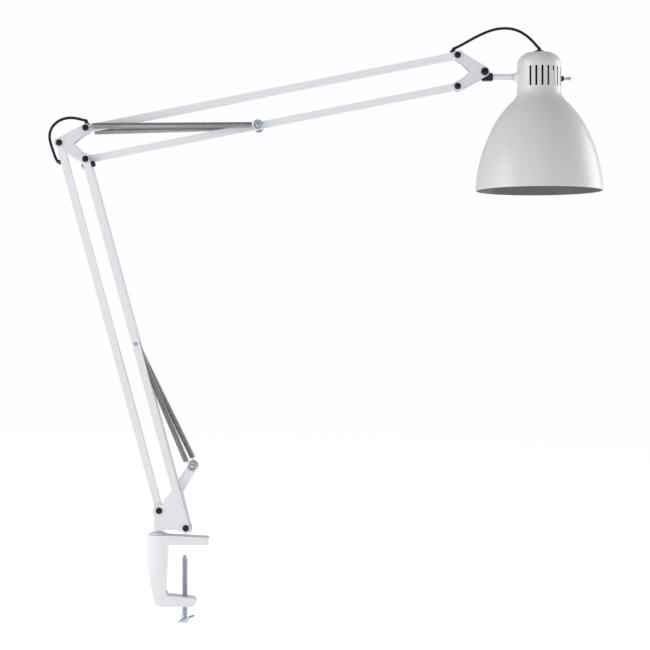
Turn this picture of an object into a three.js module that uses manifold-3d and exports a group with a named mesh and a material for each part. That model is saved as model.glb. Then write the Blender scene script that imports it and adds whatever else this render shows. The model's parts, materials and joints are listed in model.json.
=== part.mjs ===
// Swing arm desk lamp on a screw clamp: two parallelogram arms, springs, a V plate at
// each end of the upper arm and a bell shade. Millimetres, +Z up.
// The origin is the middle of the upper jaw's underside. The arms move in the XZ plane.
import * as THREE from 'three';
import { mergeVertices } from 'three/addons/utils/BufferGeometryUtils.js';
import Module from 'manifold-3d';

const wasm = await Module();
wasm.setup();

// ---- driving dimensions ----
const gap = 0.3;                 // clearance left between neighbouring pieces
const tubeSize = 9.5;            // square arm tubes
const tubeWall = 1;
const tubeOverrun = 7;           // tube beyond its end pivots
const barDepth = 6;              // flat bars of the lower arm, across the arm plane
const sheet = 2;                 // base bracket and V plates
const pinRadius = 2.5;
const headRadius = 4.2;
const headHeight = 2.4;

const baseTubePivot = new THREE.Vector2(-38.1, 43.7);
const pivotStep = new THREE.Vector2(35.2, -21.8);     // tube pivot to bar pivot
const lowerLength = 494.5;
const lowerLean = THREE.MathUtils.degToRad(15.19);
const tubeSpacing = 40.4;                             // upper tubes' pivots, one over the other
const upperLength = 490.6;
const upperRise = THREE.MathUtils.degToRad(11.17);
const headReach = new THREE.Vector2(35.3, 19);        // lower head pivot to the head's own pivot
const leverPinAt = new THREE.Vector2(5.3, 101.7);
const legRadius = 6.3;                                // half the width of a V plate's leg
const webReach = 19;                                  // from a V plate's apex to its notch

const jawWidth = 26;
const jawTop = 12.2;
const jawDepth = 65.4;            // opening of the clamp at its root
const backDepth = 21;             // rounded back of the clamp, front to back
const postX = -40;
const postRadius = 5;
const postBottom = -29.7;
const screwX = -5.1;
const screwRadius = 3.6;
const screwTop = -14.8;
const screwBottom = -102.3;
const tommyRadius = 2;
const tommyLength = 44;

const lowerAnchor = 246.8;        // along the bars, from their lower pivot
const upperAnchor = 227;          // along the bottom tube, from its elbow pivot
const coilRadius = 3.9;
const lowerSpringGap = 0.2;       // between a lower spring and the bar beside it
const upperSpringY = 12;
const elbowSpread = 2.5;          // upper springs above and below their pins, at the elbow
const anchorSpread = 0.4;         // and at their anchor
const hookRadius = 0.9;

// the head, measured from its own pivot
const shadeX = 71.36;
const stemZ = -6.36;
const knuckleEnd = 10.36;
const bossStart = 35.86;
const holderBottom = -21.16;
const stemRadius = 3.85;
const bossRadius = 9.35;
const capRadius = 28.3;
const capTop = 25.54;
const capBottom = -25.66;
const capCorner = 17;
const rimZ = -154.16;
const rimRadius = 82.6;
const shadeWall = 1.6;
const slotWidth = 2.7;
const slotBottom = -20.26;
const slotTop = 5.64;
const slotCount = 7;
const slotPitch = THREE.MathUtils.degToRad(16);
const slotMiddle = THREE.MathUtils.degToRad(17.5);    // the slots sit towards the switch
const cordRadius = 1.8;
const cordGap = 0.8;              // between the lengths of one cord, which curve apart

// ---- layers across the arm plane, worked out from the sizes above ----
const plateIn = tubeSize / 2 + 0.6;
const plateOut = plateIn + sheet;
const barIn = plateOut + 0.85;
const barOut = barIn + barDepth;
const lowerSpringY = barIn - coilRadius - lowerSpringGap;
const shortGrip = plateOut + gap;
const longGrip = barOut + gap;

// ---- pivots ----
const lowerDirection = new THREE.Vector2(-Math.sin(lowerLean), Math.cos(lowerLean));
const upperDirection = new THREE.Vector2(Math.cos(upperRise), Math.sin(upperRise));
const along = (start, direction, distance) => start.clone().addScaledVector(direction, distance);
const baseBarPivot = baseTubePivot.clone().add(pivotStep);
const elbowTubePivot = along(baseTubePivot, lowerDirection, lowerLength);
const elbowBarPivot = elbowTubePivot.clone().add(pivotStep);
const elbowTopPivot = elbowBarPivot.clone().add(new THREE.Vector2(0, tubeSpacing));
const headLowPivot = along(elbowBarPivot, upperDirection, upperLength);
const headTopPivot = along(elbowTopPivot, upperDirection, upperLength);
const headPivot = headLowPivot.clone().add(headReach);
const lowerAnchorAt = along(baseBarPivot, lowerDirection, lowerAnchor);
const upperAnchorAt = along(elbowBarPivot, upperDirection, upperAnchor);

// ---- materials ----
const finish = (color, roughness, metalness) =>
  new THREE.MeshStandardMaterial({ color, roughness, metalness });
const whitePaint = finish(0xe6e6ea, 0.45, 0);
const greyPaint = finish(0xb9b9c4, 0.45, 0.1);
const zinc = finish(0xa9b4c2, 0.3, 0.9);
const springSteel = finish(0x55565c, 0.35, 0.9);
const blackPlastic = finish(0x151517, 0.5, 0);
const cordPlastic = finish(0x1b1b1d, 0.6, 0);
const holderPlastic = finish(0x141415, 0.4, 0);
const frosted = finish(0xf6f3ea, 0.25, 0);

// ---- helpers ----
// One skin with shared corners and no empty triangles, its faces pointing out.
function weld(source) {
  const bare = source.clone();
  bare.deleteAttribute('normal');
  bare.deleteAttribute('uv');
  const merged = mergeVertices(bare, 1e-4);
  const corners = merged.index.array;
  const point = merged.attributes.position;
  const kept = [];
  let volume = 0;
  const [a, b, c] = [new THREE.Vector3(), new THREE.Vector3(), new THREE.Vector3()];
  for (let i = 0; i < corners.length; i += 3) {
    const [p, q, r] = [corners[i], corners[i + 1], corners[i + 2]];
    if (p === q || q === r || p === r) continue;
    kept.push(p, q, r);
    a.fromBufferAttribute(point, p);
    b.fromBufferAttribute(point, q);
    c.fromBufferAttribute(point, r);
    volume += a.dot(b.cross(c));
  }
  merged.setIndex(volume < 0 ? kept.reverse() : kept);
  return merged;
}

function toSolid(geometry) {
  const skin = weld(geometry);
  return new wasm.Manifold(new wasm.Mesh({
    numProp: 3,
    vertProperties: new Float32Array(skin.attributes.position.array),
    triVerts: new Uint32Array(skin.index.array),
  }));
}

function fromSolid(solid) {
  const mesh = solid.getMesh();
  const geometry = new THREE.BufferGeometry();
  geometry.setAttribute('position', new THREE.BufferAttribute(mesh.vertProperties, 3));
  geometry.setIndex(new THREE.BufferAttribute(mesh.triVerts, 1));
  return geometry;
}

const join = (first, ...rest) =>
  fromSolid(rest.reduce((whole, next) => whole.add(toSolid(next)), toSolid(first)));
const cut = (body, ...cutters) =>
  fromSolid(cutters.reduce((whole, next) => whole.subtract(toSolid(next)), toSolid(body)));
const common = (first, second) => fromSolid(toSolid(first).intersect(toSolid(second)));

// A shape drawn in XZ, given its thickness along Y about the middle y.
function upright(shape, thickness, y = 0) {
  const geometry = new THREE.ExtrudeGeometry(shape, {
    depth: thickness, bevelEnabled: false, curveSegments: 5,
  });
  return geometry.rotateX(Math.PI / 2).translate(0, y + thickness / 2, 0);
}

// A turned piece on the vertical axis, from its (radius, height) profile.
function turned(profile, segments = 16) {
  const points = profile.map(([radius, height]) => new THREE.Vector2(radius, height));
  return new THREE.LatheGeometry(points, segments).rotateX(Math.PI / 2);
}

// A round hole or rod across the arm plane.
const crossRod = (at, radius, length, y = 0) =>
  new THREE.CylinderGeometry(radius, radius, length, 12).translate(at.x, y, at.y);

// A straight round rod between two points in space.
function rodBetween(start, end, radius, sides = 12) {
  const run = end.clone().sub(start);
  const turn = new THREE.Quaternion().setFromUnitVectors(
    new THREE.Vector3(0, 1, 0), run.clone().normalize());
  const middle = start.clone().add(end).multiplyScalar(0.5);
  return new THREE.CylinderGeometry(radius, radius, run.length(), sides)
    .applyQuaternion(turn).translate(middle.x, middle.y, middle.z);
}

const space = (at, y) => new THREE.Vector3(at.x, y, at.y);

const lamp = new THREE.Group();
function place(name, geometry, material, parent = lamp) {
  const mesh = new THREE.Mesh(weld(geometry), material);
  mesh.name = name;
  parent.add(mesh);
  return mesh;
}

// A pivot screw and its nut, with one head on each side of what it holds.
function pivotPin(name, at, grip, head = headRadius, parent = lamp) {
  const end = grip + headHeight;
  const edge = 0.5;
  const profile = [
    [0, -end], [head - edge, -end], [head, -end + edge], [head, -grip], [pinRadius, -grip],
    [pinRadius, grip], [head, grip], [head, end - edge], [head - edge, end], [0, end],
  ].map(([radius, height]) => new THREE.Vector2(radius, height));
  const pin = place(name, new THREE.LatheGeometry(profile, 12), zinc, parent);
  pin.position.set(at.x, 0, at.y);
  return pin;
}

// A hollow box section along +Z, with cross holes at the given heights.
function boxSection(width, depth, from, to, holes) {
  const section = new THREE.Shape([
    new THREE.Vector2(-width / 2, -depth / 2), new THREE.Vector2(width / 2, -depth / 2),
    new THREE.Vector2(width / 2, depth / 2), new THREE.Vector2(-width / 2, depth / 2),
  ]);
  const [w, d] = [width / 2 - tubeWall, depth / 2 - tubeWall];
  section.holes.push(new THREE.Path([
    new THREE.Vector2(-w, -d), new THREE.Vector2(-w, d),
    new THREE.Vector2(w, d), new THREE.Vector2(w, -d),
  ]));
  const body = new THREE.ExtrudeGeometry(section, { depth: to - from, bevelEnabled: false })
    .translate(0, 0, from);
  const drills = holes.map(([height, radius]) =>
    crossRod(new THREE.Vector2(0, height), radius, depth * 2));
  return cut(body, ...drills);
}

function armGroup(at, direction) {
  const group = new THREE.Group();
  group.position.set(at.x, 0, at.y);
  group.rotation.y = Math.atan2(direction.x, direction.y);
  lamp.add(group);
  return group;
}

// One V plate: two legs with round ends that meet at the apex, a web that fills the fork
// between them, and three pin holes.
function vPlate(apex, upper, lower, y) {
  const leg = (from, to) => {
    const angle = Math.atan2(to.y - from.y, to.x - from.x);
    const shape = new THREE.Shape();
    shape.absarc(from.x, from.y, legRadius, angle + Math.PI / 2, angle + Math.PI * 1.5, false);
    shape.absarc(to.x, to.y, legRadius, angle - Math.PI / 2, angle + Math.PI / 2, false);
    return upright(shape, sheet, y);
  };
  const fork = upper.clone().add(lower).multiplyScalar(0.5).sub(apex).normalize();
  const inset = new THREE.Vector2(0, legRadius - 1);
  const web = new THREE.Shape([apex, upper.clone().sub(inset), along(apex, fork, webReach),
    lower.clone().add(inset)]);
  const holes = [apex, upper, lower].map((at) => crossRod(at, pinRadius + gap, sheet * 3, y));
  return cut(join(leg(apex, upper), leg(apex, lower), upright(web, sheet, y)), ...holes);
}

// ---- clamp ----
function clampFrame() {
  const profile = new THREE.Shape([
    [-53.2, jawTop], [-30, jawTop], [26.8, 9.4], [26.8, 0], [-26.1, 0],
    [-29.8, -60], [-27, -jawDepth], [7, -69.2], [9.9, -72.5], [9.9, -77], [6.5, -80],
    [-36.8, -79.8], [-44.2, -75.5], [-47.7, -60], [-54.2, -27], [-54.2, -14],
  ].map(([x, z]) => new THREE.Vector2(x, z)).reverse());
  const half = jawWidth / 2;
  const backX = -54.2 + backDepth;
  const frontX = 27;
  const corner = 4;
  const plan = new THREE.Shape();
  plan.moveTo(backX, -half);
  plan.lineTo(frontX - corner, -half);
  plan.absarc(frontX - corner, -half + corner, corner, -Math.PI / 2, 0, false);
  plan.absarc(frontX - corner, half - corner, corner, 0, Math.PI / 2, false);
  plan.lineTo(backX, half);
  plan.absellipse(backX, 0, backDepth + 0.2, half, Math.PI / 2, Math.PI * 1.5, false, 0);
  const column = new THREE.ExtrudeGeometry(plan, {
    depth: 120, bevelEnabled: false, curveSegments: 10,
  }).translate(0, 0, -100);
  const blank = common(upright(profile, jawWidth + 2), column);
  const postBore = new THREE.CylinderGeometry(postRadius + gap, postRadius + gap, 60, 20)
    .rotateX(Math.PI / 2).translate(postX, 0, postBottom - gap + 30);
  const screwBore = new THREE.CylinderGeometry(screwRadius + gap, screwRadius + gap, 30, 20)
    .rotateX(Math.PI / 2).translate(screwX, 0, -74);
  return cut(blank, postBore, screwBore);
}
place('clamp_frame', clampFrame(), whitePaint);

const tommyZ = -98;
const screwHead = 4.6;
const screwBlank = turned([
  [0, screwBottom], [screwHead, screwBottom], [screwHead, screwBottom + 9],
  [screwRadius, screwBottom + 10.5], [screwRadius, screwTop - 0.6],
  [screwRadius - 0.6, screwTop], [0, screwTop],
], 20);
const tommyTurn = THREE.MathUtils.degToRad(70);
const tommyBlank = (radius, length, shift) => new THREE.CylinderGeometry(radius, radius, length, 12)
  .translate(0, shift, 0).rotateZ(tommyTurn - Math.PI / 2).translate(0, 0, tommyZ);
place('clamp_screw', cut(screwBlank, tommyBlank(tommyRadius + gap, 30, 0)), zinc)
  .position.x = screwX;
place('clamp_tommy_bar', tommyBlank(tommyRadius, tommyLength, 5), zinc).position.x = screwX;

// ---- swivel base ----
const collarBottom = jawTop + gap;
const bracketBottom = 16.1;
const neckRadius = 4;
place('swivel_collar', cut(
  turned([[0, collarBottom], [11.4, collarBottom], [11.4, collarBottom + 1.4],
    [7.5, bracketBottom - gap], [0, bracketBottom - gap]], 24),
  new THREE.CylinderGeometry(postRadius + gap, postRadius + gap, 20, 20).rotateX(Math.PI / 2)
    .translate(0, 0, collarBottom),
), greyPaint).position.x = postX;
place('swivel_post', turned([
  [0, postBottom], [postRadius, postBottom], [postRadius, bracketBottom - gap],
  [neckRadius, bracketBottom - gap], [neckRadius, 20], [0, 20],
], 20), zinc).position.x = postX;

function baseBracket() {
  const cheek = new THREE.Shape();
  const boss = 8.4;
  cheek.moveTo(-44.5, bracketBottom);
  cheek.lineTo(-30.9, 19.9);
  cheek.lineTo(-16.4, 18.3);
  cheek.absarc(baseBarPivot.x, baseBarPivot.y, 6.8, -2.2, 0.75, false);
  cheek.quadraticCurveTo(-4, 50, -7.7, 66.8);
  cheek.quadraticCurveTo(-2, 76, leverPinAt.x + 2.6, leverPinAt.y - 8);
  cheek.absarc(leverPinAt.x, leverPinAt.y, 6.2, -0.9, 2.9, false);
  cheek.lineTo(-23.4, 68.5);
  cheek.quadraticCurveTo(-31, 60, baseTubePivot.x + 4.5, baseTubePivot.y + 8);
  cheek.absarc(baseTubePivot.x, baseTubePivot.y, boss, 1.2, 3.7, false);
  cheek.closePath();
  const y = (plateIn + plateOut) / 2;
  const floor = new THREE.BoxGeometry(13, plateOut * 2 - 0.4, sheet)
    .translate(-37.8, 0, bracketBottom + sheet / 2 + 1.8);
  const post = new THREE.CylinderGeometry(neckRadius + gap, neckRadius + gap, 30, 20)
    .rotateX(Math.PI / 2).translate(postX, 0, bracketBottom);
  const pins = [baseTubePivot, baseBarPivot, leverPinAt]
    .map((at) => crossRod(at, pinRadius + gap, plateOut * 3));
  return cut(join(upright(cheek, sheet, -y), upright(cheek, sheet, y), floor), post, ...pins);
}
place('base_bracket', baseBracket(), whitePaint);
pivotPin('base_tube_pin', baseTubePivot, shortGrip);
pivotPin('base_bar_pin', baseBarPivot, longGrip);
pivotPin('spring_lever_pin', leverPinAt, shortGrip, 6.8);

// ---- lower arm: one tube and two bars ----
const hole = pinRadius + gap;
const lowerTubeArm = armGroup(baseTubePivot, lowerDirection);
place('lower_tube', boxSection(tubeSize, tubeSize, -tubeOverrun, lowerLength + tubeOverrun,
  [[0, hole], [lowerLength, hole]]), whitePaint, lowerTubeArm);
const cordExitHeight = lowerLength - 24.5;
place('lower_cord_grommet', turned([[0, 0], [3.6, 0], [3.2, 1.2], [0, 1.2]], 12)
  .rotateY(-Math.PI / 2).translate(-tubeSize / 2 - gap, 0, cordExitHeight), blackPlastic,
lowerTubeArm);

const stopHeight = lowerLength - 8.5;
const stopRadius = 1.5;
const barArm = armGroup(baseBarPivot, lowerDirection);
const barY = (barIn + barOut) / 2;
const anchorRadius = 2;
for (const [side, sign] of [['front', -1], ['rear', 1]]) {
  const holes = [[0, hole], [lowerLength, hole], [lowerAnchor, anchorRadius + gap]];
  const bar = boxSection(tubeSize, barDepth, -tubeOverrun, lowerLength + tubeOverrun, holes);
  const stopHole = new THREE.CylinderGeometry(stopRadius + gap, stopRadius + gap, tubeSize * 2, 12)
    .rotateZ(Math.PI / 2).translate(0, 0, stopHeight);
  place(`lower_bar_${side}`, sign < 0 ? cut(bar, stopHole) : bar, whitePaint, barArm)
    .position.y = sign * barY;
}
place('lower_spring_anchor', crossRod(new THREE.Vector2(0, lowerAnchor), anchorRadius,
  barOut * 2 + 2), zinc, barArm);
const stopFace = tubeSize / 2 + gap;
place('travel_stop_bolt', new THREE.LatheGeometry([
  [0, -stopFace - 2.6], [2.9, -stopFace - 2.6], [3.3, -stopFace - 2.2], [3.3, -stopFace],
  [stopRadius, -stopFace], [stopRadius, stopFace], [0, stopFace],
].map(([r, h]) => new THREE.Vector2(r, h)), 16).rotateZ(-Math.PI / 2)
  .translate(0, -barY, stopHeight), zinc, barArm);
place('travel_stop_buffer', new THREE.LatheGeometry([
  [0, 0], [3.9, 0], [3.9, 3.4], [2.9, 5], [0, 5],
].map(([r, h]) => new THREE.Vector2(r, h)), 16).rotateZ(-Math.PI / 2)
  .translate(stopFace + gap, -barY, stopHeight), blackPlastic, barArm);

// ---- elbow ----
const plateY = (plateIn + plateOut) / 2;
place('elbow_plate_front', vPlate(elbowTubePivot, elbowTopPivot, elbowBarPivot, -plateY),
  greyPaint);
place('elbow_plate_rear', vPlate(elbowTubePivot, elbowTopPivot, elbowBarPivot, plateY),
  greyPaint);
pivotPin('elbow_tube_pin', elbowTubePivot, shortGrip);
pivotPin('elbow_bar_pin', elbowBarPivot, longGrip);
pivotPin('elbow_top_pin', elbowTopPivot, upperSpringY + coilRadius - 0.6);

// ---- upper arm: two tubes ----
const topArm = armGroup(elbowTopPivot, upperDirection);
const bottomArm = armGroup(elbowBarPivot, upperDirection);
place('upper_top_tube', boxSection(tubeSize, tubeSize, -tubeOverrun, upperLength + tubeOverrun,
  [[0, hole], [upperLength, hole]]), whitePaint, topArm);
place('upper_bottom_tube', boxSection(tubeSize, tubeSize, -tubeOverrun,
  upperLength + tubeOverrun, [[0, hole], [upperLength, hole], [upperAnchor, hole]]),
whitePaint, bottomArm);
for (const [name, height] of [['elbow_cord_grommet', 1.5], ['head_cord_grommet', upperLength - 6]]) {
  place(name, turned([[0, 0], [3.6, 0], [3.2, 1.2], [0, 1.2]], 12)
    .rotateY(-Math.PI / 2).translate(-tubeSize / 2 - gap, 0, height), blackPlastic, topArm);
}
pivotPin('upper_spring_anchor', upperAnchorAt, upperSpringY + coilRadius - 0.6, 6.8);

// ---- springs: a closed envelope for each coil, and the hook at its sliding end ----
function spring(name, hookName, coilStart, coilEnd, hookEnd, sideY) {
  const [start, end] = [space(coilStart, sideY), space(coilEnd, sideY)];
  place(name, rodBetween(start, end, coilRadius), springSteel);
  const towardsPin = space(hookEnd, sideY).sub(end).normalize();
  const hookStart = end.clone().addScaledVector(towardsPin, gap + coilRadius * 0.4);
  const hookStop = space(hookEnd, sideY)
    .addScaledVector(towardsPin, -(pinRadius + gap + hookRadius));
  place(hookName, rodBetween(hookStart, hookStop, hookRadius, 8), springSteel);
}
const toLever = leverPinAt.clone().sub(lowerAnchorAt).normalize();
const lowerCoilTop = along(lowerAnchorAt, toLever, 9);
spring('lower_spring_front', 'lower_hook_front', lowerCoilTop,
  leverPinAt.clone().add(new THREE.Vector2(-8.3, 5.9)), leverPinAt, -lowerSpringY);
spring('lower_spring_rear', 'lower_hook_rear', lowerCoilTop,
  leverPinAt.clone().add(new THREE.Vector2(-0.5, 10.3)), leverPinAt, lowerSpringY);
for (const [side, sign] of [['front', -1], ['rear', 1]]) {
  const inner = upperAnchorAt.clone().add(new THREE.Vector2(-8, -sign * anchorSpread));
  const outer = elbowTopPivot.clone().add(new THREE.Vector2(8.5, -sign * elbowSpread));
  spring(`upper_spring_${side}`, `upper_hook_${side}`, inner, outer, elbowTopPivot,
    sign * upperSpringY);
}

// ---- head ----
place('head_plate_front', vPlate(headPivot, headTopPivot, headLowPivot, -plateY), greyPaint);
place('head_plate_rear', vPlate(headPivot, headTopPivot, headLowPivot, plateY), greyPaint);
pivotPin('head_top_pin', headTopPivot, shortGrip);
pivotPin('head_low_pin', headLowPivot, shortGrip);
pivotPin('head_tilt_pin', headPivot, shortGrip, 5);

const head = new THREE.Group();
head.position.set(headPivot.x, 0, headPivot.y);
lamp.add(head);
function knuckle() {
  const depth = (plateIn - gap) * 2;
  const pivot = new THREE.Vector2(0, 0);
  const overlap = 3;
  const block = new THREE.BoxGeometry(knuckleEnd + overlap, depth, 10)
    .translate((knuckleEnd - overlap) / 2, 0, stemZ);
  return cut(join(crossRod(pivot, 6, depth), block), crossRod(pivot, hole, depth * 2));
}
place('head_knuckle', knuckle(), blackPlastic, head);

// A turned piece on the stem's axis, which runs along +X.
const onStem = (profile, segments = 20) =>
  turned(profile, segments).rotateY(Math.PI / 2).translate(0, 0, stemZ);
place('shade_stem', onStem([[0, knuckleEnd + gap], [stemRadius, knuckleEnd + gap],
  [stemRadius, bossStart - gap], [0, bossStart - gap]], 16), whitePaint, head);
const capEnvelope = new THREE.CylinderGeometry(capRadius + gap, capRadius + gap, 60, 48)
  .rotateX(Math.PI / 2).translate(shadeX, 0, stemZ);
const capEdge = shadeX - capRadius;
place('shade_boss', cut(onStem([[0, bossStart], [stemRadius + 0.1, bossStart], [4.6, bossStart + 3],
  [6.4, bossStart + 6], [bossRadius, capEdge + 1.3], [bossRadius + 0.5, capEdge + 3.5],
  [bossRadius + 0.5, capEdge + 6], [0, capEdge + 6]]), capEnvelope), whitePaint, head);

function shadeProfile(inset) {
  const cap = new THREE.Path();
  const corner = capCorner - inset;
  cap.moveTo(0, capTop - inset);
  cap.lineTo(capRadius - capCorner, capTop - inset);
  cap.absarc(capRadius - capCorner, capTop - capCorner, corner, Math.PI / 2, 0, true);
  cap.lineTo(capRadius - inset, capBottom);
  const bell = new THREE.SplineCurve([
    [capRadius, capBottom], [capRadius + 10.7, rimZ + 115], [rimRadius - 26, rimZ + 89.5],
    [rimRadius - 14.8, rimZ + 66.1], [rimRadius - 6.6, rimZ + 42.7],
    [rimRadius - 1.6, rimZ + 19.3], [rimRadius, rimZ],
  ].map(([radius, height]) => new THREE.Vector2(radius, height)));
  const points = cap.getPoints(4);
  const steps = 8;
  for (let i = 1; i <= steps; i += 1) {
    const slope = bell.getTangentAt(i / steps);
    const point = bell.getPointAt(i / steps);
    const height = i === steps ? rimZ : point.y - slope.x * inset;
    points.push(new THREE.Vector2(point.x + slope.y * inset, height));
  }
  return points;
}
function shade() {
  const outline = [...shadeProfile(0), ...shadeProfile(shadeWall).reverse()];
  const bell = new THREE.LatheGeometry(outline, 32).rotateX(Math.PI / 2);
  const slots = [];
  for (const mirror of [1, -1]) {
    for (let i = 0; i < slotCount; i += 1) {
      const fromFront = slotMiddle + (i - slotCount / 2 + 0.5) * slotPitch;
      const turn = mirror > 0 ? fromFront : Math.PI - fromFront;
      slots.push(new THREE.BoxGeometry(slotWidth, 20, slotTop - slotBottom)
        .translate(0, -capRadius, (slotTop + slotBottom) / 2).rotateZ(turn));
    }
  }
  return cut(bell, ...slots);
}
place('shade', shade(), whitePaint, head).position.x = shadeX;

const holderTop = capTop - shadeWall - gap;
place('lamp_holder', turned([[0, holderBottom], [15.5, holderBottom], [16.5, holderBottom + 2],
  [16.5, holderBottom + 20], [13, holderBottom + 38], [9, holderTop], [0, holderTop]], 20),
holderPlastic, head).position.x = shadeX;
const bulbTop = holderBottom - gap;
const bulbProfile = [[0, -94.7], [12, -92.2], [22, -85.7], [28, -76.7], [30, -64.7],
  [27.5, -50.7], [20, -34.7], [14.5, -21.7], [13, 0], [0, 0]];
place('bulb', turned(bulbProfile.map(([radius, height]) => [radius, bulbTop + height]), 20),
  frosted, head).position.x = shadeX;

const bushStart = capRadius + gap + 0.3;
const bushEnd = bushStart + 3;
place('switch_bush', onStem([[0, bushStart], [4, bushStart], [4, bushEnd - 0.5],
  [3.5, bushEnd], [0, bushEnd]], 12).translate(shadeX, 0, -2), blackPlastic, head);
const leverEnd = bushEnd + 9.6;
place('switch_lever', onStem([[0, bushEnd + gap], [1.2, bushEnd + gap], [1.6, bushEnd + 3],
  [2.3, leverEnd - 2], [1.6, leverEnd], [0, leverEnd]], 12)
  .translate(shadeX, 0, -2), zinc, head);
const glandTop = capTop + 4.2;
place('cord_gland', turned([[0, capTop + gap], [5.85, capTop + gap], [5.85, capTop + 2.3],
  [3.4, capTop + 3], [2.7, glandTop], [0, glandTop]], 16), blackPlastic, head)
  .position.x = shadeX;

// ---- cords, each in lengths that belong to one side of a joint ----
// Points are (x, z), chosen by hand along each cord's middle.
const elbowRoute = [
  [-169.1, 495.2], [-171.6, 498.8], [-173.8, 503.2], [-175.6, 508.4], [-177.7, 514.6],
  [-179.8, 521.4], [-181, 528.4], [-180.4, 535.2], [-177.8, 541.4], [-173.4, 546.6],
  [-167.6, 550.6], [-160.8, 553], [-153.3, 553.9], [-145.7, 553.1], [-138.4, 551.4],
  [-131.6, 549.8],
];
const headRoute = [
  [342.6, 643.2], [348, 645.4], [355, 648.9], [362, 652.8], [369, 656.7], [376, 660.3],
  [383, 663.6], [390.4, 666.6], [400, 669.2], [410.2, 670.2], [420.4, 669.3], [430.2, 666],
  [438.6, 660.8], [445.2, 655.1], [450.3, 649.8], [454.4, 645],
];
function cordLengths(route, names) {
  const curve = new THREE.CatmullRomCurve3(route.map(([x, z]) => new THREE.Vector3(x, 0, z)),
    false, 'centripetal');
  const total = curve.getLength();
  const section = new THREE.Shape();
  section.absarc(0, 0, cordRadius, 0, Math.PI * 2, false);
  names.forEach((name, i) => {
    const from = i / names.length + (i > 0 ? cordGap / 2 / total : 0);
    const to = (i + 1) / names.length - (i < names.length - 1 ? cordGap / 2 / total : 0);
    const points = [];
    const stepCount = 8;
    for (let k = 0; k <= stepCount; k += 1) {
      points.push(curve.getPointAt(from + ((to - from) * k) / stepCount));
    }
    place(name, new THREE.ExtrudeGeometry(section, {
      steps: stepCount, curveSegments: 4, bevelEnabled: false,
      extrudePath: new THREE.CatmullRomCurve3(points, false, 'centripetal'),
    }), cordPlastic);
  });
}
cordLengths(elbowRoute, ['elbow_cord_lower', 'elbow_cord_upper']);
cordLengths(headRoute, ['head_cord_arm', 'head_cord_middle', 'head_cord_shade']);

export default lamp;
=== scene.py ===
# Swing arm desk lamp: the looks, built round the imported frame
import json
import math

import bmesh
import bpy
from mathutils import Matrix, Vector


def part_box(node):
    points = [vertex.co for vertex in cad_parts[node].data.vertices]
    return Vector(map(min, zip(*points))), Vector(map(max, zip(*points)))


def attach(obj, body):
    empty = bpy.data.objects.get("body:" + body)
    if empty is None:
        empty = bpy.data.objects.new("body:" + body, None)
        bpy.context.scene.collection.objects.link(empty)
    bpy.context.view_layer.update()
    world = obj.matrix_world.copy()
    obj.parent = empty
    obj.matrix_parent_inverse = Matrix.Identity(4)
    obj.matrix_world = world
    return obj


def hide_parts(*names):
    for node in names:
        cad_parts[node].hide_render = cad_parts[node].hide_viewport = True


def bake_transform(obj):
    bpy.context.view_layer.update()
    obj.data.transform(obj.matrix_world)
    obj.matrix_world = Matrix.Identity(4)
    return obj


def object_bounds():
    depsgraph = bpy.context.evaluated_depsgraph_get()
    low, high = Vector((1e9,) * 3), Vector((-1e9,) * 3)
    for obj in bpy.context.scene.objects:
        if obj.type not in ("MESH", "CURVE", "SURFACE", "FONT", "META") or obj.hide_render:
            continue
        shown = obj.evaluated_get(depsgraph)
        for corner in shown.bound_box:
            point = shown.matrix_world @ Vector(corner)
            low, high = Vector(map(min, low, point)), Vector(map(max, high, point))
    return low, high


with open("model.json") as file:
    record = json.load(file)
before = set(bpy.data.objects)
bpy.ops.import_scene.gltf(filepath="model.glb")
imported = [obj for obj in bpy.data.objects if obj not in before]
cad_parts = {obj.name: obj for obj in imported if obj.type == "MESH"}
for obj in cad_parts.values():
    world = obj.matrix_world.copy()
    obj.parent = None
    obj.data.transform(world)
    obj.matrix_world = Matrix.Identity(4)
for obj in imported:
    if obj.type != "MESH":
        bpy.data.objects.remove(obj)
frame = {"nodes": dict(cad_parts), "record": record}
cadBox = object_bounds()
mm = 0.001
record = frame["record"]
bodyOf = {node: body for body, nodes in record["behaviour"]["bodies"].items() for node in nodes}
slotOf = {part["node"]: part["material_slot"] for part in record["subparts"]}

view = {
    "distance": 2.275,      # from the arms' plane
    "middle": (0.177, 0.2846),
    "fieldWidth": 0.845,
    "sensor": 36.0,
}


def addCamera():
    data = bpy.data.cameras.new("camera")
    data.sensor_width = view["sensor"]
    data.lens = view["sensor"] * view["distance"] / view["fieldWidth"]
    camera = bpy.data.objects.new("camera", data)
    camera.location = (view["middle"][0], -view["distance"], view["middle"][1])
    camera.rotation_euler = (math.pi / 2, 0, 0)
    bpy.context.collection.objects.link(camera)
    bpy.context.scene.camera = camera


addCamera()
print("camera placed")


# shader maths


# one output socket that takes part in sums
class Wire:
    def __init__(self, look, socket):
        self.look = look
        self.socket = socket

    def sum(self, operation, first, second):
        return self.look.node("ShaderNodeMath", {"operation": operation}, {0: first, 1: second})

    def __add__(self, other):
        return self.sum("ADD", self, other)

    def __mul__(self, other):
        return self.sum("MULTIPLY", self, other)

    __radd__ = __add__
    __rmul__ = __mul__


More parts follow.
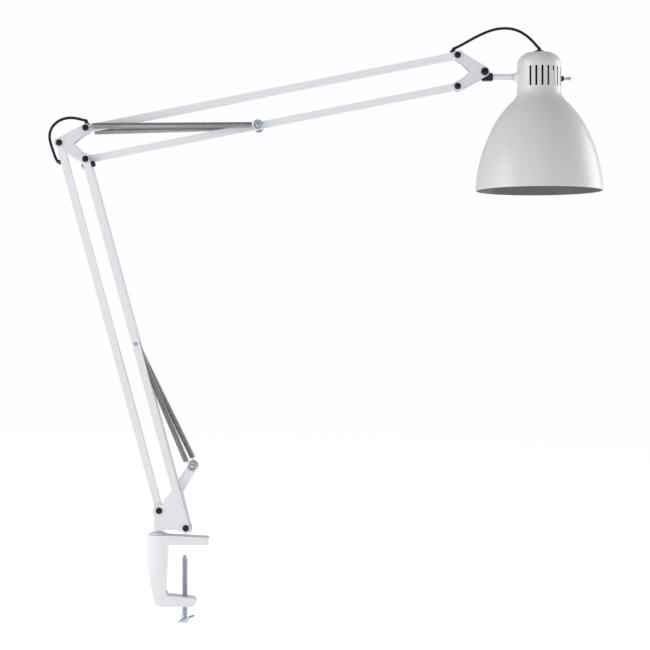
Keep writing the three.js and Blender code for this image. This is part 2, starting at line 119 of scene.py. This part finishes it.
# a material and its Principled shader
class Look:
    def __init__(self, name, **fixed):
        self.material = bpy.data.materials.new(name)
        self.material.use_nodes = True
        self.tree = self.material.node_tree
        self.shader = self.tree.nodes["Principled BSDF"]
        for socket, value in fixed.items():
            self.shader.inputs[socket.replace("_", " ")].default_value = value
        self.place = self.node("ShaderNodeTexCoord", {}, {}, "Object")

    def node(self, kind, settings, inputs, output=0):
        made = self.tree.nodes.new(kind)
        for key, value in settings.items():
            setattr(made, key, value)
        for key, value in inputs.items():
            if isinstance(value, Wire):
                self.tree.links.new(value.socket, made.inputs[key])
            else:
                made.inputs[key].default_value = value
        return Wire(self, made.outputs[output])

    def feed(self, socket, value):
        self.tree.links.new(value.socket, self.shader.inputs[socket])

    def noise(self, scale, detail=2.0, roughness=0.5):
        return self.node("ShaderNodeTexNoise", {}, {
            "Vector": self.place, "Scale": scale, "Detail": detail, "Roughness": roughness})

    def blendColour(self, factor, first, second):
        return self.node("ShaderNodeMix", {"data_type": "RGBA"}, {0: factor, 6: first, 7: second}, 2)

    def bump(self, height, strength, depth):
        self.feed("Normal", self.node("ShaderNodeBump", {}, {
            "Strength": strength, "Distance": depth, "Height": height}))


# sprayed paint; the optional inner colour is painted shade, laid where the piece's inner-wall mask is 1
def powderCoat(name, light, dark, rough, paintedShadeInside=None):
    look = Look(name, Coat_Weight=0.12, Coat_Roughness=0.3)
    cloud = look.noise(9, 3)
    peel = look.noise(1400, 2)
    fleck = look.noise(4200, 1)
    colour = look.blendColour(cloud * 0.6 + fleck * 0.4, light, dark)
    if paintedShadeInside:
        mask = look.node("ShaderNodeAttribute", {"attribute_name": "paintedShadeInside"}, {}, "Fac")
        colour = look.blendColour(mask, colour, paintedShadeInside)
    look.feed("Base Color", colour)
    look.feed("Roughness", peel * 0.12 + (rough - 0.06))
    look.bump(peel + fleck * 0.3, 0.25, 0.00012)
    return look.material


def platedMetal(name, light, dark, rough, grain):
    look = Look(name, Metallic=1.0)
    stain = look.noise(120, 4, 0.6)
    drawn = look.noise(grain, 2)
    look.feed("Base Color", look.blendColour(stain, light, dark))
    look.feed("Roughness", stain * 0.14 + drawn * 0.08 + (rough - 0.11))
    look.bump(drawn, 0.12, 0.00008)
    return look.material


def moulded(name, light, dark, rough, grain=2400, shine=0.5):
    look = Look(name, Specular_IOR_Level=shine)
    cloud = look.noise(40, 3)
    grit = look.noise(grain, 2)
    look.feed("Base Color", look.blendColour(cloud, light, dark))
    look.feed("Roughness", grit * 0.14 + (rough - 0.07))
    look.bump(grit, 0.2, 0.0001)
    return look.material


finishes = {
    "white_paint": powderCoat("whitePaint", (0.80, 0.80, 0.83, 1), (0.75, 0.75, 0.785, 1), 0.42),
    # the bell's coat is the arms' white powder coat set darker all over: painted shade that darkens the
    # front of the bell
    "shade_paint": powderCoat("bellCoatPaintedShade", (0.67, 0.67, 0.675, 1), (0.63, 0.63, 0.64, 1), 0.34,
                              # the inner colour is painted shade on the bell's inner wall, which also
                              # darkens what shows through the slots
                              paintedShadeInside=(0.16, 0.16, 0.165, 1)),
    "grey_paint": powderCoat("greyPaint", (0.74, 0.74, 0.80, 1), (0.69, 0.69, 0.755, 1), 0.4),
    "dark_screw": platedMetal("darkScrew", (0.045, 0.046, 0.05, 1), (0.02, 0.021, 0.024, 1),
                              0.24, 1500),
    "zinc": platedMetal("zincPlate", (0.56, 0.59, 0.65, 1), (0.38, 0.42, 0.5, 1), 0.26, 1500),
    "spring_steel": platedMetal("springSteel", (0.40, 0.40, 0.40, 1), (0.26, 0.26, 0.265, 1),
                                0.32, 2600),
    "black_plastic": moulded("blackPlastic", (0.01, 0.01, 0.011, 1), (0.018, 0.018, 0.02, 1),
                             0.4, shine=0.28),
    "cord": moulded("cordSheath", (0.006, 0.006, 0.007, 1), (0.012, 0.012, 0.013, 1), 0.44, 1800,
                    0.22),
    # lamp holder: partly the holder's own black, partly painted shade, made black so the cap's slots look
    # dark inside
    "lamp_holder": moulded("blackHolderPaintedSlotShade", (0.012, 0.012, 0.013, 1), (0.02, 0.02, 0.022, 1), 0.38, 1600),
    "bulb_glass": moulded("frostedGlass", (0.9, 0.89, 0.85, 1), (0.86, 0.85, 0.8, 1), 0.2, 900),
}
print("finishes made")


# mesh helpers
def asObject(bm, name):
    mesh = bpy.data.meshes.new(name)
    bm.to_mesh(mesh)
    bm.free()
    piece = bpy.data.objects.new(name, mesh)
    bpy.context.collection.objects.link(piece)
    return piece


def smooth(piece, angle):
    piece.data.shade_smooth()
    piece.data.set_sharp_from_angle(angle=math.radians(angle))


# the piece's modifiers become its mesh
def settle(piece):
    graph = bpy.context.evaluated_depsgraph_get()
    mesh = bpy.data.meshes.new_from_object(piece.evaluated_get(graph))
    piece.modifiers.clear()
    piece.data = mesh


def softEdges(piece, width, segments=2, angle=40):
    modifier = piece.modifiers.new("edges", "BEVEL")
    modifier.width = width
    modifier.segments = segments
    modifier.limit_method = "ANGLE"
    modifier.angle_limit = math.radians(angle)


# gives the piece its finish, and unless it is blended puts it on the body of its node
def dress(piece, node, blended=False):
    piece.data.materials.clear()
    piece.data.materials.append(finishes[slotOf[node]])
    if not blended:
        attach(piece, bodyOf[node])
    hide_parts(node)


def middleOf(node):
    low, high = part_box(node)
    return (Vector(low) + Vector(high)) / 2


axisTurn = {
    "z": Matrix.Identity(4),
    "x": Matrix.Rotation(math.pi / 2, 4, "Y"),
}


# a turned skin on the Z axis from (radius, height) points in millimetres
def spinProfile(profile, steps):
    bm = bmesh.new()
    corners = [bm.verts.new((radius * mm, 0, height * mm)) for radius, height in profile]
    edges = [bm.edges.new(pair) for pair in zip(corners, corners[1:])]
    bmesh.ops.spin(bm, geom=corners + edges, cent=(0, 0, 0), axis=(0, 0, 1),
                   angle=2 * math.pi, steps=steps, use_merge=True)
    bmesh.ops.remove_doubles(bm, verts=bm.verts, dist=1e-6)
    bmesh.ops.dissolve_degenerate(bm, edges=bm.edges, dist=1e-7)
    bmesh.ops.recalc_face_normals(bm, faces=bm.faces)
    return bm


def turnedPiece(name, profile, centre, axis="z", steps=64, edge=0.0003):
    bm = spinProfile(profile, steps)
    bmesh.ops.transform(bm, matrix=Matrix.Translation(centre) @ axisTurn[axis], verts=bm.verts)
    piece = asObject(bm, name)
    if edge:
        softEdges(piece, edge)
    smooth(piece, 50)
    return piece


# a round wire or cord through the points, closed at both ends
def wirePiece(name, points, radius, sides=2):
    curve = bpy.data.curves.new(name, "CURVE")
    curve.dimensions = "3D"
    curve.bevel_depth = radius
    curve.bevel_resolution = sides
    curve.use_fill_caps = True
    spline = curve.splines.new("POLY")
    spline.points.add(len(points) - 1)
    for spot, point in zip(spline.points, points):
        spot.co = (*point, 1)
    holder = bpy.data.objects.new(name + "Line", curve)
    bpy.context.collection.objects.link(holder)
    graph = bpy.context.evaluated_depsgraph_get()
    mesh = bpy.data.meshes.new_from_object(holder.evaluated_get(graph))
    bpy.data.objects.remove(holder)
    bm = bmesh.new()
    bm.from_mesh(mesh)
    bmesh.ops.remove_doubles(bm, verts=bm.verts, dist=1e-6)
    bmesh.ops.recalc_face_normals(bm, faces=bm.faces)
    bpy.data.meshes.remove(mesh)
    piece = asObject(bm, name)
    smooth(piece, 60)
    return piece


# cords
cords = {
    "radius": 1.8,
    "elbow": [
        (-169.1, 495.2), (-171.6, 498.8), (-173.8, 503.2), (-175.6, 508.4), (-177.7, 514.6),
        (-179.8, 521.4), (-181, 528.4), (-180.4, 535.2), (-177.8, 541.4), (-173.4, 546.6),
        (-167.6, 550.6), (-160.8, 553), (-153.3, 553.9), (-145.7, 553.1), (-138.4, 551.4),
        (-131.6, 549.8),
    ],
    "head": [
        (342.6, 643.2), (348, 645.4), (355, 648.9), (362, 652.8), (369, 656.7),
        (376, 660.3), (383, 663.6), (390.4, 666.6), (400, 669.2), (410.2, 670.2),
        (420.4, 669.3), (430.2, 666), (438.6, 660.8), (445.2, 655.1), (450.3, 649.8),
        (454.4, 645),
    ],
    "finePerSpan": 8,
}


# a smooth line through the chosen points, in metres
def fineRoute(route):
    knots = [Vector((x * mm, 0, z * mm)) for x, z in route]
    knots = [2 * knots[0] - knots[1]] + knots + [2 * knots[-1] - knots[-2]]
    fine = []
    for a, b, c, d in zip(knots, knots[1:], knots[2:], knots[3:]):
        for i in range(cords["finePerSpan"]):
            t = i / cords["finePerSpan"]
            fine.append(0.5 * (2 * b + (c - a) * t + (2 * a - 5 * b + 4 * c - d) * t * t
                               + (3 * b - a - 3 * c + d) * t ** 3))
    return fine + [knots[-2]]


def lengthOf(points):
    return sum((b - a).length for a, b in zip(points, points[1:]))


# one cord in lengths: (node, body before, body after)
def layCord(route, lengths):
    line = fineRoute(route)
    share = lengthOf(line) / len(lengths)
    start = 0
    for i, (node, before, after) in enumerate(lengths):
        stop = start + 1
        while stop < len(line) - 1 and (i == len(lengths) - 1 or lengthOf(line[start:stop + 1]) < share):
            stop += 1
        points = line[start:stop + 1]
        piece = wirePiece(node.replace("_", "-"), points, cords["radius"] * mm, 5)
        dress(piece, node, blended=True)
        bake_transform(piece)
        lengthOf(points)
        start = stop


layCord(cords["elbow"], [("elbow_cord_lower", "lower_tube", "elbow"),
                         ("elbow_cord_upper", "elbow", "upper_top_tube")])
layCord(cords["head"], [("head_cord_arm", "upper_top_tube", "head"),
                        ("head_cord_middle", "head", "knuckle"),
                        ("head_cord_shade", "knuckle", "shade")])
print("cords laid")


# pieces that keep the frame's shape, with these edge widths in millimetres
edgeWidths = {
    "lower_tube": 0.9, "lower_bar_front": 0.8, "lower_bar_rear": 0.8,
    "upper_top_tube": 0.9, "upper_bottom_tube": 0.9,
    "elbow_plate_front": 0.5, "elbow_plate_rear": 0.5,
    "head_plate_front": 0.5, "head_plate_rear": 0.5,
    "base_bracket": 0.5, "clamp_frame": 1.6, "head_knuckle": 0.8,
    "clamp_tommy_bar": 0.5, "swivel_collar": 0.5,
    "swivel_post": 0.5,
}


def roundedCopy(node, width):
    bm = bmesh.new()
    bm.from_mesh(frame["nodes"][node].data)
    bmesh.ops.remove_doubles(bm, verts=bm.verts, dist=1e-6)
    bmesh.ops.dissolve_limit(bm, angle_limit=math.radians(1.5), verts=bm.verts, edges=bm.edges)
    piece = asObject(bm, node.replace("_", "-"))
    softEdges(piece, width * mm, 3)
    smooth(piece, 32)
    dress(piece, node)


for node, width in edgeWidths.items():
    roundedCopy(node, width)
print("arms, plates and clamp rounded")


# pivot screws: domed head with a cross recess, lock nut behind
screw = {
    "shaft": 2.5, "headHeight": 2.4, "recess": 1.5, "slotWidth": 0.9, "slotShare": 0.95,
    # (share of the head's radius, depth below its top)
    "dome": [(0, 0), (0.35, 0.06), (0.65, 0.3), (0.88, 0.85), (1, 1.6)],
    "ringed": [(0, 0.5), (0.3, 0.7), (0.42, 1.2), (0.5, 1.7), (0.62, 1.6), (0.68, 0.5), (0.78, 0),
               (0.9, 0.15), (1, 0.9)],
}


# a domed screw, or with no recess a ringed pin whose middle is sunk
def pivotScrew(node, turn, recess=True):
    low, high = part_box(node)
    head = (high[0] - low[0]) / 2 / mm
    end = (high[1] - low[1]) / 2 / mm
    grip = end - screw["headHeight"]
    crown = screw["dome"] if recess else screw["ringed"]
    face = [(head * share, end - depth) for share, depth in crown] + [(head, grip)]
    shaft = [(screw["shaft"], grip), (screw["shaft"], -grip)]
    washer = [(head, -grip), (head, -grip - 0.7), (head * 0.86, -grip - 0.8)]
    nut = [(head * 0.82, -end + 0.3), (head * 0.7, -end), (screw["shaft"] * 0.9, -end),
           (screw["shaft"] * 0.8, -end + 0.3), (0, -end + 0.3)]
    bm = spinProfile(face + shaft + washer + nut, 48)
    # the turn brings the head to -Y, the front
    matrix = Matrix.Translation(middleOf(node)) @ Matrix.Rotation(math.pi / 2, 4, "X")
    bmesh.ops.transform(bm, matrix=matrix, verts=bm.verts)
    piece = asObject(bm, node.replace("_", "-"))
    if recess:
        cutter = bmesh.new()
        for angle in (turn, turn + math.pi / 2):
            arm = bmesh.ops.create_cube(cutter, size=1)["verts"]
            reach = screw["shaft"] * screw["slotShare"] * 2
            size = Matrix.Diagonal((reach * mm, screw["recess"] * 2 * mm,
                                    screw["slotWidth"] * mm, 1))
            place = Matrix.Translation((middleOf(node).x, low[1], middleOf(node).z))
            bmesh.ops.transform(cutter, matrix=place @ Matrix.Rotation(angle, 4, "Y") @ size,
                                verts=arm)
        tool = asObject(cutter, node + "Cutter")
        modifier = piece.modifiers.new("recess", "BOOLEAN")
        modifier.object = tool
        modifier.solver = "EXACT"
        modifier.use_self = True
        settle(piece)
        bpy.data.objects.remove(tool)
    smooth(piece, 40)
    dress(piece, node)


screws = ["base_tube_pin", "base_bar_pin", "elbow_tube_pin", "elbow_bar_pin", "elbow_top_pin",
          "head_top_pin", "head_low_pin", "head_tilt_pin"]
for i, node in enumerate(screws):
    pivotScrew(node, 0.4 + 1.1 * i)
for node in ("spring_lever_pin", "upper_spring_anchor"):
    pivotScrew(node, 0, recess=False)
print("screws set")

# clamp screw, its thread a row of rings
clampScrew = {"radius": 3.6, "core": 3.1, "pitch": 1.25, "headRadius": 4.6, "headHeight": 9,
              "plainEnd": 3, "chamfer": 0.8, "shoulder": 1.5, "neck": 0.7, "tip": 0.5}


def threadedScrew():
    low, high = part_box("clamp_screw")
    bottom, top = low[2] / mm, high[2] / mm
    headTop = bottom + clampScrew["headHeight"]
    outer, core = clampScrew["radius"], clampScrew["core"]
    head, chamfer, tip = clampScrew["headRadius"], clampScrew["chamfer"], clampScrew["tip"]
    profile = [(0, bottom), (head - chamfer, bottom), (head, bottom + chamfer), (head, headTop),
               (outer, headTop + clampScrew["shoulder"])]
    height = headTop + clampScrew["shoulder"] + clampScrew["neck"]
    while height < top - clampScrew["plainEnd"]:
        profile += [(core, height), (outer, height + clampScrew["pitch"] / 2)]
        height += clampScrew["pitch"]
    profile += [(core, height), (core, top - tip), (core - tip, top), (0, top)]
    place = Vector((middleOf("clamp_screw").x, 0, 0))
    dress(turnedPiece("clamp-screw", profile, place, edge=0), "clamp_screw")


threadedScrew()


# springs
springs = {"coilRadius": 3.9, "wire": 0.62, "pitch": 1.42, "perTurn": 14, "loop": 3.3,
           "loopAngle": 5.2, "loopStart": 0.5, "loopSteps": 24, "inCoil": 1.2, "outOfCoil": 0.6,
           "tiltPasses": 40}


# ends of a slanted round rod that fills the node's box, from its left end
def rodInBox(node, falling):
    low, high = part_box(node)
    width, height = high[0] - low[0], high[2] - low[2]
    across = 2 * springs["coilRadius"] * mm
    tilt = math.atan2(height, width)
    for _ in range(springs["tiltPasses"]):      # each pass brings the tilt closer
        run = width - across * math.sin(tilt)
        rise = max(height - across * math.cos(tilt), 0)
        length = math.hypot(run, rise)
        tilt = math.atan2(rise, run)
    middle = middleOf(node)
    half = Vector((math.cos(tilt), 0, -math.sin(tilt) if falling else math.sin(tilt))) * length / 2
    return middle - half, middle + half


def coil(start, end):
    run = end - start
    forward = run.normalized()
    side = Vector((0, 1, 0))
    up = forward.cross(side)
    turns = round(run.length / (springs["pitch"] * mm))
    radius = (springs["coilRadius"] - springs["wire"]) * mm
    points = []
    for i in range(turns * springs["perTurn"] + 1):
        angle = 2 * math.pi * i / springs["perTurn"]
        spot = start + run * (i / (turns * springs["perTurn"]))
        points.append(spot + (up * math.cos(angle) + side * math.sin(angle)) * radius)
    return points


# wire from the coil's end to a loop round the pin, in the coil's own plane
def hook(coilEnd, pin):
    centre = Vector((pin.x, coilEnd.y, pin.z))
    back = (coilEnd - centre).normalized()
    side = Vector((0, 1, 0)).cross(back)
    radius = springs["loop"] * mm
    steps = springs["loopSteps"]
    angles = [springs["loopStart"] + springs["loopAngle"] * k / steps for k in range(steps + 1)]
    ring = [centre + (back * math.cos(a) + side * math.sin(a)) * radius for a in angles]
    return [coilEnd + back * springs["inCoil"] * mm, coilEnd - back * springs["outOfCoil"] * mm] + ring


def addSpring(name, node, hookNode, falling, fixedPin, movingPin, fixedAtLeft):
    left, right = rodInBox(node, falling)
    fixed, moving = (left, right) if fixedAtLeft else (right, left)
    piece = wirePiece(name, coil(left, right), springs["wire"] * mm, 1)
    dress(piece, node, blended=True)
    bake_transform(piece)
    fixedHook = wirePiece(name + "-fixed-hook", hook(fixed, middleOf(fixedPin)), springs["wire"] * mm)
    dress(fixedHook, node)
    movingHook = wirePiece(name + "-moving-hook", hook(moving, middleOf(movingPin)), springs["wire"] * mm)
    dress(movingHook, hookNode)


for side in ("front", "rear"):
    addSpring(f"lower-spring-{side}", f"lower_spring_{side}", f"lower_hook_{side}", True,
              "lower_spring_anchor", "spring_lever_pin", True)
    addSpring(f"upper-spring-{side}", f"upper_spring_{side}", f"upper_hook_{side}",
              False, "upper_spring_anchor", "elbow_top_pin", False)
print("springs wound")


# shade
shade = {
    "wall": 1.6, "capRadius": 28.3, "corner": 17, "capRings": (24, 34, 44), "cornerSteps": 8,
    "bell": [(28.3, 51.2), (29.6, 56.5), (33.8, 62.5), (41, 69.5), (49, 79), (56.6, 90.2),
             (62.8, 102), (67.8, 113.6), (72.6, 125.5), (76, 137), (78.9, 149), (81, 160.4),
             (82.3, 171), (82.6, 179.7)],          # (radius, depth below the top)
    "slots": 7, "slotPitch": 16, "slotMiddle": 17.5, "slotWidth": 2.7,
    "slotTop": 19.9, "slotBottom": 45.8, "cutterDepth": 12, "slotRound": 1.2,
    "steps": 128,
}


# the outline from the top's middle to the rim, set in by the wall
def shadeSkin(inset):
    corner = shade["corner"]
    flat = shade["capRadius"] - corner
    outline = [(0, -inset)]
    for i in range(shade["cornerSteps"] + 1):
        angle = math.pi / 2 * (1 - i / shade["cornerSteps"])
        reach = corner - inset
        outline.append((flat + reach * math.cos(angle), -corner + reach * math.sin(angle)))
    outline += [(shade["capRadius"] - inset, -depth) for depth in shade["capRings"]]
    bell = shade["bell"]
    for i, (radius, depth) in enumerate(bell):
        before, after = bell[max(i - 1, 0)], bell[min(i + 1, len(bell) - 1)]
        slope = math.atan2(after[0] - before[0], after[1] - before[1])
        last = i == len(bell) - 1
        outline.append((radius - inset * math.cos(slope),
                        -depth if last else -depth - inset * math.sin(slope)))
    return outline


# merges the close points that a cut leaves, and splits its many-sided faces
def tidyCut(piece):
    bm = bmesh.new()
    bm.from_mesh(piece.data)
    bmesh.ops.remove_doubles(bm, verts=bm.verts, dist=0.02 * mm)
    bmesh.ops.dissolve_degenerate(bm, edges=bm.edges, dist=0.01 * mm)
    bmesh.ops.triangulate(bm, faces=[f for f in bm.faces if len(f.verts) > 4],
                          quad_method="BEAUTY", ngon_method="BEAUTY")
    bm.to_mesh(piece.data)
    bm.free()


# marks the inner wall's points with 1, where the paint lays its painted shade: their normals look towards
# the axis
def markPaintedShadeInside(piece, top):
    level = top.z - shade["corner"] * mm
    mask = piece.data.attributes.new("paintedShadeInside", "FLOAT", "POINT")
    for spot, vertex in zip(mask.data, piece.data.vertices):
        away = vertex.co - Vector((top.x, top.y, min(vertex.co.z, level)))
        spot.value = 1.0 if vertex.normal.dot(away) < 0 else 0.0


def buildShade():
    low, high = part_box("shade")
    centre = Vector(((low[0] + high[0]) / 2, (low[1] + high[1]) / 2, high[2]))
    bm = spinProfile(shadeSkin(0) + shadeSkin(shade["wall"])[::-1], shade["steps"])
    bmesh.ops.transform(bm, matrix=Matrix.Translation(centre), verts=bm.verts)
    piece = asObject(bm, "shade-bell")
    cutter = bmesh.new()
    height = (shade["slotBottom"] - shade["slotTop"]) * mm
    middle = -(shade["slotBottom"] + shade["slotTop"]) / 2 * mm
    for front in (True, False):      # the rear slots mirror the front ones
        for i in range(shade["slots"]):
            step = (i - (shade["slots"] - 1) / 2) * shade["slotPitch"]
            fromFront = math.radians(shade["slotMiddle"] + step)
            turn = fromFront if front else math.pi - fromFront
            slot = bmesh.ops.create_cube(cutter, size=1)["verts"]
            size = Matrix.Diagonal((shade["slotWidth"] * mm, shade["cutterDepth"] * mm, height, 1))
            place = Matrix.Translation(centre + Vector((0, 0, middle)))
            out = Matrix.Translation((0, -shade["capRadius"] * mm, 0))
            bmesh.ops.transform(cutter, matrix=place @ Matrix.Rotation(turn, 4, "Z") @ out @ size,
                                verts=slot)
    radial = [e for e in cutter.edges
              if e.calc_length() > shade["slotWidth"] * 2 * mm
              and abs(e.verts[0].co.z - e.verts[1].co.z) < mm]
    bmesh.ops.bevel(cutter, geom=radial, offset=shade["slotRound"] * mm, segments=4, profile=0.5,
                    affect="EDGES", material=-1)
    tool = asObject(cutter, "slotCutter")
    modifier = piece.modifiers.new("slots", "BOOLEAN")
    modifier.object = tool
    modifier.solver = "MANIFOLD"
    settle(piece)
    bpy.data.objects.remove(tool)
    tidyCut(piece)
    smooth(piece, 40)
    markPaintedShadeInside(piece, centre)
    dress(piece, "shade")


buildShade()
print("shade made")

# what sits on and in the shade, as (radius, height) points in millimetres
shadeAxis = middleOf("shade").x
turned = {
    "boss": [(0, 0), (3.85, 0), (4.1, 1.6), (4.8, 3.4), (6, 5.2), (7.6, 6.8), (9, 8.1), (9.8, 9.8)],
    "bossMouth": 9.85,
    "switchBush": [(0, 0), (4, 0), (4, 1.2), (3.2, 1.2), (3.2, 2.6), (2.7, 3), (0, 3)],
    "switchLever": [(0, 0), (1.2, 0), (1.6, 2.7), (2.1, 5.5), (2.3, 7.6), (1.9, 8.9), (1.1, 9.3),
                    (0, 9.3)],
    "gland": [(0, 0), (5.85, 0), (5.85, 1.7), (5.4, 2.2), (3.3, 2.5), (2.7, 3.2), (2.5, 4.4),
              (2.3, 6.4), (0, 6.4)],
    "holder": [(0, 0), (15.2, 0), (16.5, 1.4), (16.5, 8), (15.9, 8.6), (15.9, 9.6), (16.5, 10.2),
               (16.5, 20), (15.4, 26), (13, 38), (9, 44.8), (0, 44.8)],
    "bulb": [(0, 0), (6, 0.7), (12, 2.6), (18, 6), (22.6, 10.4), (26.2, 15.2), (28.9, 21.5),
             (29.9, 28), (29.6, 35), (27.6, 43), (24, 51.5), (20, 59.5), (16.8, 67), (14.6, 74.5),
             (13.4, 84), (13, 94.7), (0, 94.7)],
}
bossFit = {"intoCap": 4, "gap": 0.1, "cutterHeight": 60}


# a turned piece along +X, its profile given from the node's left end
def onStem(node, profile):
    low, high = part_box(node)
    centre = Vector((low[0], 0, (low[2] + high[2]) / 2))
    dress(turnedPiece(node.replace("_", "-"), profile, centre, "x", 48), node)


# the trumpet end of the stem, its mouth fitted to the round cap
def buildBoss():
    low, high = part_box("shade_boss")
    inCap = (high[0] - low[0]) / mm + bossFit["intoCap"]
    profile = turned["boss"] + [(turned["bossMouth"], inCap), (0, inCap)]
    centre = Vector((low[0], 0, (low[2] + high[2]) / 2))
    piece = turnedPiece("shade-boss", profile, centre, "x", 64, 0)
    cap = bmesh.new()
    reach = (shade["capRadius"] + bossFit["gap"]) * mm
    bmesh.ops.create_cone(cap, cap_ends=True, segments=shade["steps"], radius1=reach,
                          radius2=reach, depth=bossFit["cutterHeight"] * mm)
    bmesh.ops.translate(cap, vec=(shadeAxis, 0, centre.z), verts=cap.verts)
    tool = asObject(cap, "capCutter")
    modifier = piece.modifiers.new("fit", "BOOLEAN")
    modifier.object = tool
    modifier.solver = "EXACT"
    settle(piece)
    bpy.data.objects.remove(tool)
    smooth(piece, 40)
    dress(piece, "shade_boss")


# a turned piece along +Z on the shade's axis, standing on the node's lowest level
def onAxis(node, profile, steps, edge=0.0003):
    low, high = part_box(node)
    foot = Vector((shadeAxis, 0, low[2]))
    dress(turnedPiece(node.replace("_", "-"), profile, foot, steps=steps, edge=edge), node)


def fittings():
    low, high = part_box("shade_stem")
    stemLength = (high[0] - low[0]) / mm
    onStem("shade_stem", [(0, 0), (3.85, 0), (3.85, stemLength), (0, stemLength)])
    buildBoss()
    onStem("switch_bush", turned["switchBush"])
    onStem("switch_lever", turned["switchLever"])
    onAxis("cord_gland", turned["gland"], 48)
    onAxis("lamp_holder", turned["holder"], 64)
    onAxis("bulb", turned["bulb"], 64, edge=0)


boot = {"overCord": 3, "throat": 2.15, "foot": [(0, -0.7), (3.2, -0.7), (3.2, 0.4), (2.7, 0.9)]}


# a tapered sleeve from the grommet's seat round the first of the cord
def cordBoot(node, cordEnd, towards):
    seat = middleOf(node)
    tip = cordEnd + (towards - cordEnd).normalized() * boot["overCord"] * mm
    reach = (tip - seat).length / mm
    bm = spinProfile(boot["foot"] + [(boot["throat"], reach), (0, reach)], 40)
    turn = (tip - seat).to_track_quat("Z", "Y").to_matrix().to_4x4()
    bmesh.ops.transform(bm, matrix=Matrix.Translation(seat) @ turn, verts=bm.verts)
    piece = asObject(bm, node.replace("_", "-"))
    smooth(piece, 50)
    dress(piece, node)


def routeEnd(route, last=False):
    points = fineRoute(route)
    return (points[-1], points[-4]) if last else (points[0], points[3])


fittings()
cordBoot("lower_cord_grommet", *routeEnd(cords["elbow"]))
cordBoot("elbow_cord_grommet", *routeEnd(cords["elbow"], last=True))
cordBoot("head_cord_grommet", *routeEnd(cords["head"]))
print("fittings turned")

# CAD nodes that keep their own mesh
for node, piece in frame["nodes"].items():
    if not piece.hide_render:
        piece.data.materials.clear()
        piece.data.materials.append(finishes[slotOf[node]])

# floor, backdrop and light
studio = {
    "floorDrop": 0.03, "floorSize": 12, "worldLight": 0.45,
    "lights": {            # place, power, size
        "left": ((-2.3, -0.9, 1.1), 27, 1.6),
        "right": ((2.2, 0.7, 0.7), 20, 1.4),
        "front": ((-0.3, -2.6, 1.6), 4, 1.6),
    },
}


def addFloor():
    bm = bmesh.new()
    bmesh.ops.create_grid(bm, x_segments=1, y_segments=1, size=studio["floorSize"])
    bmesh.ops.translate(bm, vec=(0, 0, cadBox[0].z - studio["floorDrop"]), verts=bm.verts)
    floor = asObject(bm, "floor")
    look = Look("paleFloor", Roughness=0.9, Emission_Strength=0.56)
    look.shader.inputs["Emission Color"].default_value = (1, 1, 1, 1)
    grain = look.noise(3, 2)
    look.feed("Base Color", look.blendColour(grain, (0.95, 0.95, 0.95, 1), (0.92, 0.92, 0.92, 1)))
    floor.data.materials.append(look.material)


def addWorld():
    world = bpy.data.worlds.new("studio")
    world.use_nodes = True
    tree = world.node_tree
    back = tree.nodes["Background"]
    back.inputs["Color"].default_value = (0.985, 0.99, 1, 1)
    path = tree.nodes.new("ShaderNodeLightPath")
    pick = tree.nodes.new("ShaderNodeMath")
    pick.operation = "MAXIMUM"
    pick.inputs[1].default_value = studio["worldLight"]
    tree.links.new(path.outputs["Is Camera Ray"], pick.inputs[0])
    tree.links.new(pick.outputs[0], back.inputs["Strength"])
    bpy.context.scene.world = world


def addLight(name, place, power, size):
    data = bpy.data.lights.new(name, "AREA")
    data.energy = power
    data.size = size
    light = bpy.data.objects.new(name, data)
    light.location = place
    aim = Vector((view["middle"][0], 0, view["middle"][1])) - Vector(place)
    light.rotation_euler = aim.to_track_quat("-Z", "Y").to_euler()
    bpy.context.collection.objects.link(light)


addFloor()
addWorld()
for name, (place, power, size) in studio["lights"].items():
    addLight(name, place, power, size)
bpy.context.scene.view_settings.view_transform = "Standard"
print("studio lit")
